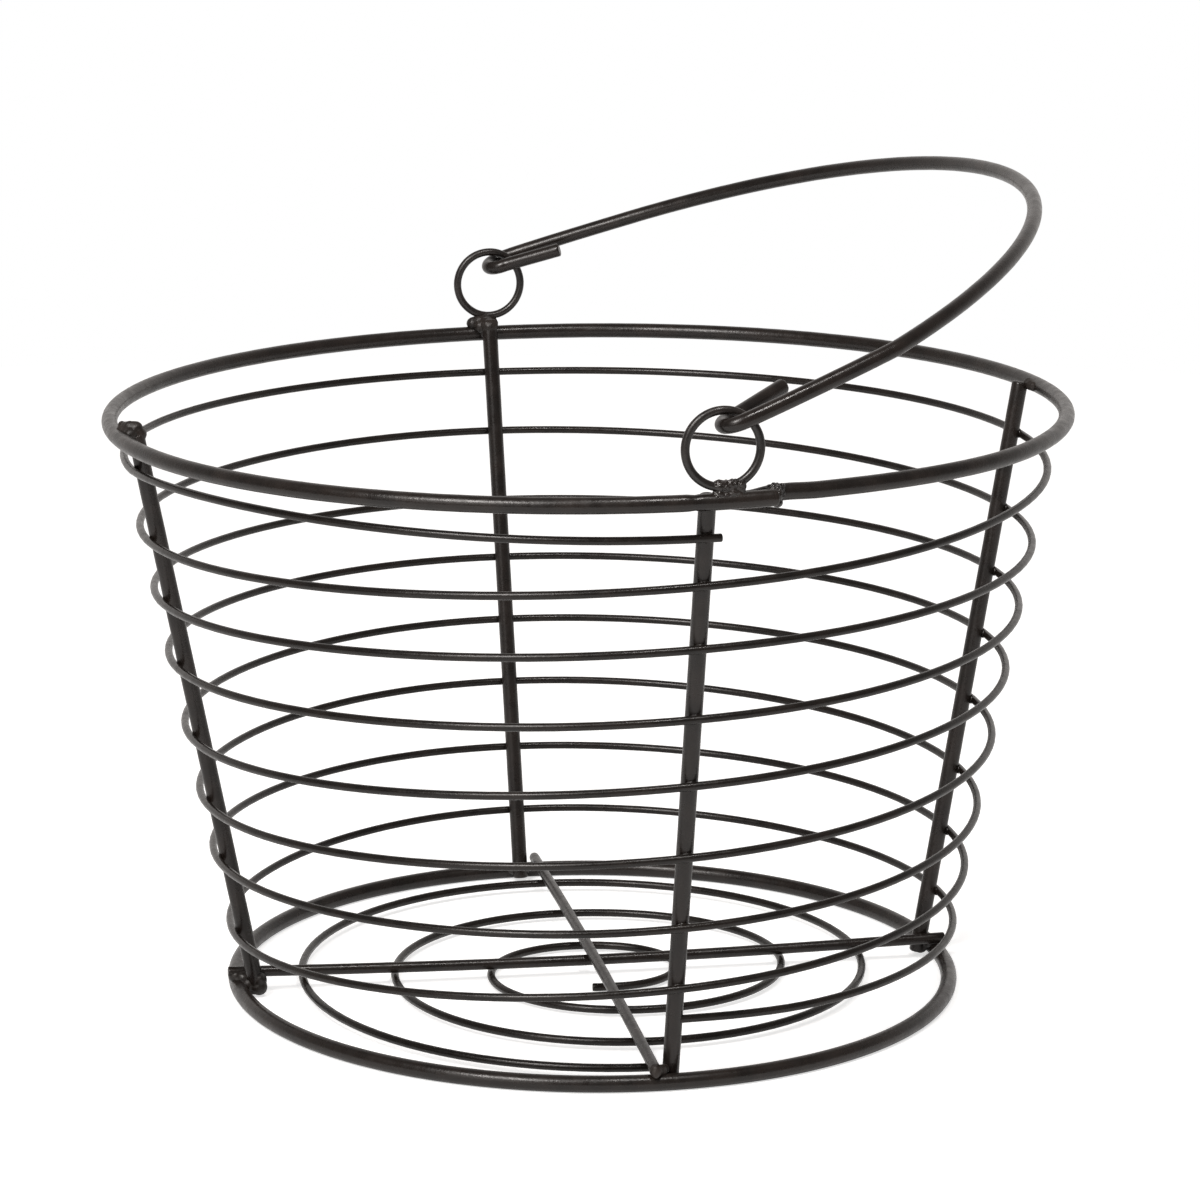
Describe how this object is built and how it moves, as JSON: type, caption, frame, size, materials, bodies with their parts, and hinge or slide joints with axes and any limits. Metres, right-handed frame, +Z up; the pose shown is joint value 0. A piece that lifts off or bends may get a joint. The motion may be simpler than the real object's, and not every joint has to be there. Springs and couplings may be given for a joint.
{
  "type": "onion basket",
  "caption": "Round tapered wire basket with a spiral-wound wall, a spiral wire floor on crossed bars, two ear rings on the rim and a hooked swing handle.",
  "frame": {"origin": "on the floor under the middle of the rim", "axes": "+Z up, +Y from the front ear to the back ear, +X to the right, where the handle leans"},
  "size_m": [0.3303, 0.3406, 0.2829],
  "materials": {
    "heavy_wire": "satin near-black plastic coating",
    "thin_wire": "satin near-black plastic coating",
    "handle_wire": "satin near-black plastic coating",
    "weld_bead": "uneven near-black coating over weld"
  },
  "bodies": {
    "basket": {"base_ring": "heavy_wire", "base_spiral": "thin_wire", "cross_bar_lower": "heavy_wire", "cross_bar_upper": "heavy_wire", "ear_ring_back": "thin_wire", "ear_ring_front": "thin_wire", "ear_weld_back": "weld_bead", "ear_weld_front": "weld_bead", "foot_weld_back": "weld_bead", "foot_weld_front": "weld_bead", "foot_weld_left": "weld_bead", "foot_weld_right": "weld_bead", "lap_weld": "weld_bead", "rim_ring": "heavy_wire", "top_weld_back": "weld_bead", "top_weld_left": "weld_bead", "top_weld_right": "weld_bead", "upright_back": "heavy_wire", "upright_front": "heavy_wire", "upright_left": "heavy_wire", "upright_right": "heavy_wire", "wall_wire": "thin_wire"},
    "bail": {"bail_handle": "handle_wire"}
  },
  "joints": [
    {"name": "bail_swing", "type": "hinge", "parent": "basket", "child": "bail", "pos_m": [0.00195, 0, 0.22735], "axis": [0.0071, -1, -0.004], "range_deg": [-26.5, 167.5]}
  ]
}
